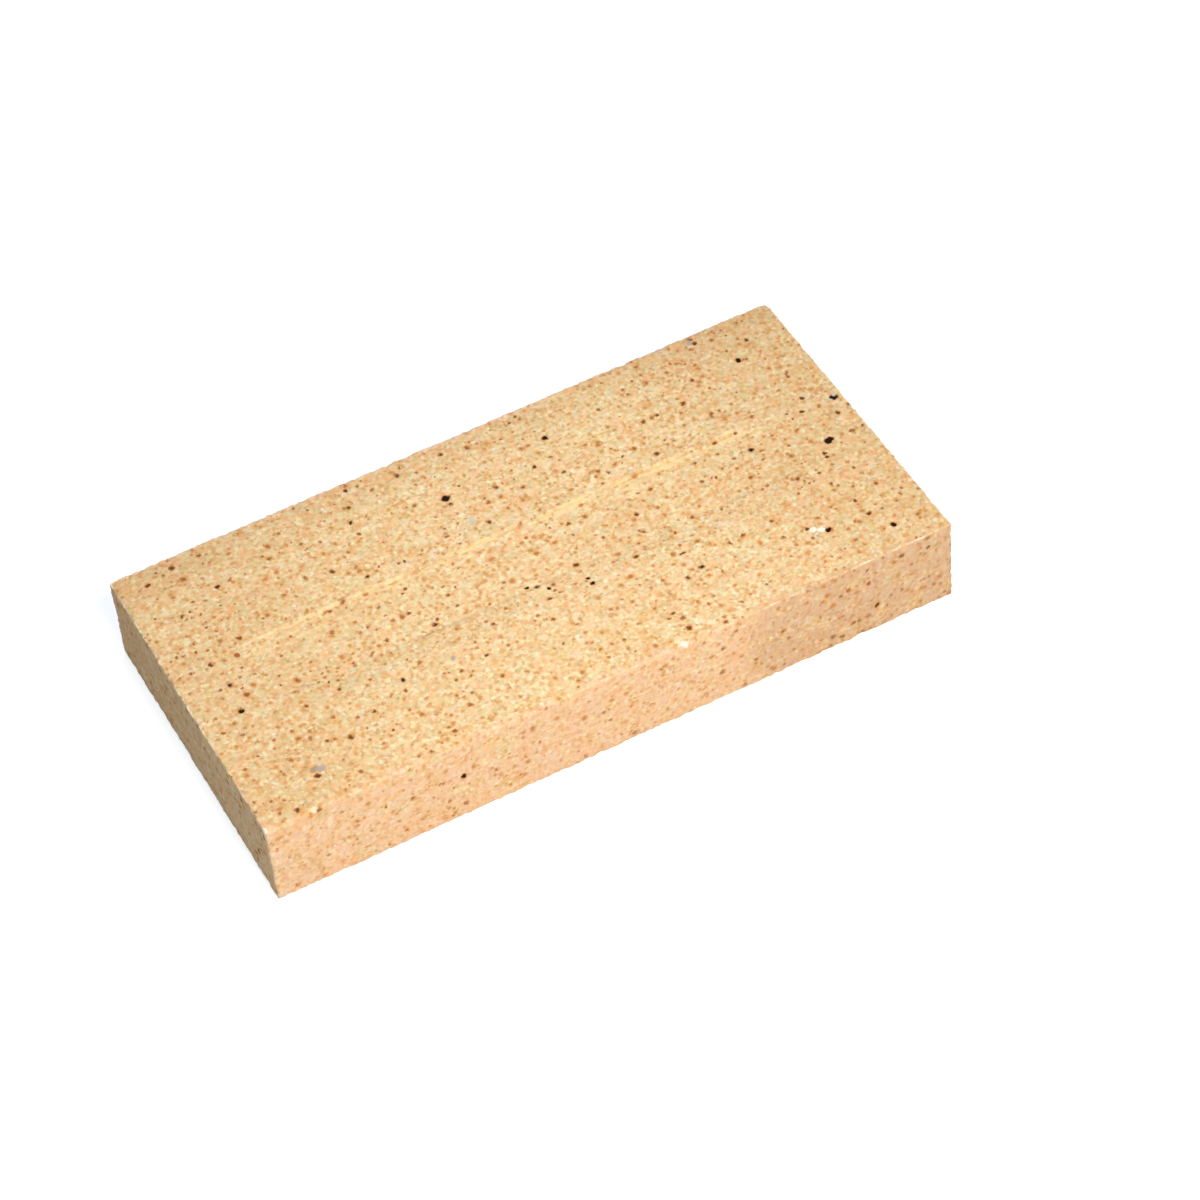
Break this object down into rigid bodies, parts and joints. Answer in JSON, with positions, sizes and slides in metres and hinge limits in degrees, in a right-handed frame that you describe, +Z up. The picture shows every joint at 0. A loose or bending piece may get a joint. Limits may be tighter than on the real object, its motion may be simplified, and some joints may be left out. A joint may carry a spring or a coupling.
{
  "type": "refractory firebrick",
  "caption": "Flat pressed fireclay brick in the thin split format, with crisp arrises, a shallow bare stamp panel in its upper bed and a speckled buff body.",
  "frame": {"origin": "middle of the lower bed, the face that the brick lies on", "axes": "+X along the length, +Y across the width, +Z up out of the upper bed that holds the stamp panel"},
  "size_m": [0.23, 0.114, 0.032],
  "materials": {
    "fireclay": "matte"
  },
  "bodies": {
    "root": {"firebrick": "fireclay"}
  },
  "joints": []
}
